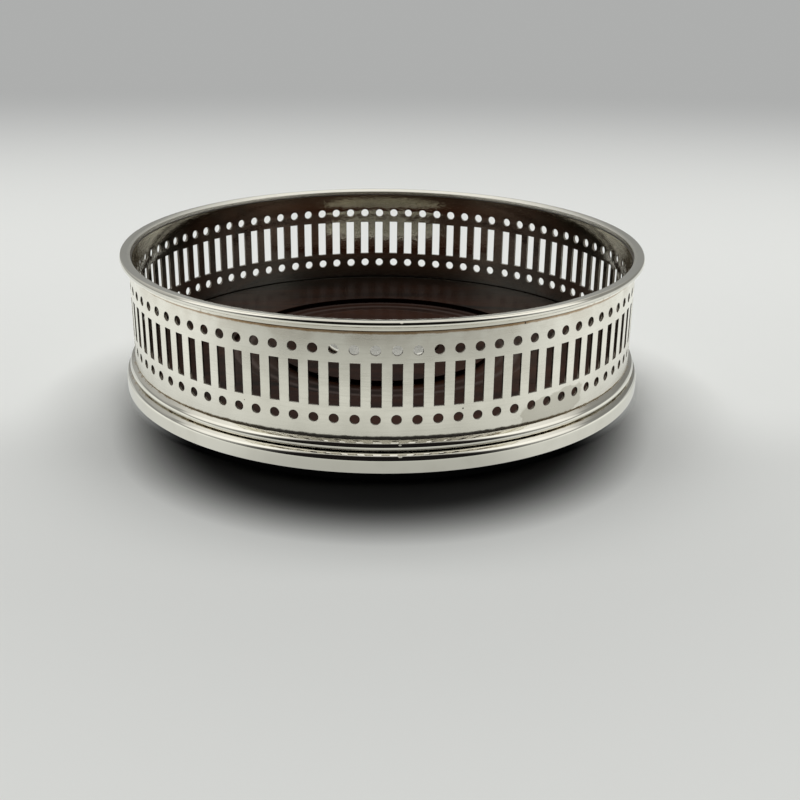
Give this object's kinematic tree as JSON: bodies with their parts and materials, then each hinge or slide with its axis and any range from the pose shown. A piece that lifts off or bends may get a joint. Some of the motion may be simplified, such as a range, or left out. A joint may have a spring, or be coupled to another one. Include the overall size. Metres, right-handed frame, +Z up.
{
  "type": "bottle coaster",
  "caption": "Round bottle coaster: a pierced metal gallery with reeded rim and stepped foot, round a turned dark wooden base with a plain central boss.",
  "frame": {"origin": "centre of the pad's underside, on the surface that the coaster stands on", "axes": "+Z up along the axis of the round body; -Y faces the viewer of the picture"},
  "size_m": [0.1286, 0.1286, 0.0344],
  "materials": {
    "silver": "polished silver with fine scratches and tarnish in the crevices",
    "boss_silver": "silver, scratched by bottles",
    "mahogany": "dark stained and polished",
    "brass": "dull",
    "baize": "felted wool"
  },
  "bodies": {
    "root": {"gallery_band": "silver", "rim_moulding": "silver", "foot_reed": "silver", "foot_skirt": "silver", "wood_base": "mahogany", "boss": "boss_silver", "boss_stud": "brass", "boss_washer": "brass", "boss_nut": "brass", "baize_pad": "baize"}
  },
  "joints": []
}
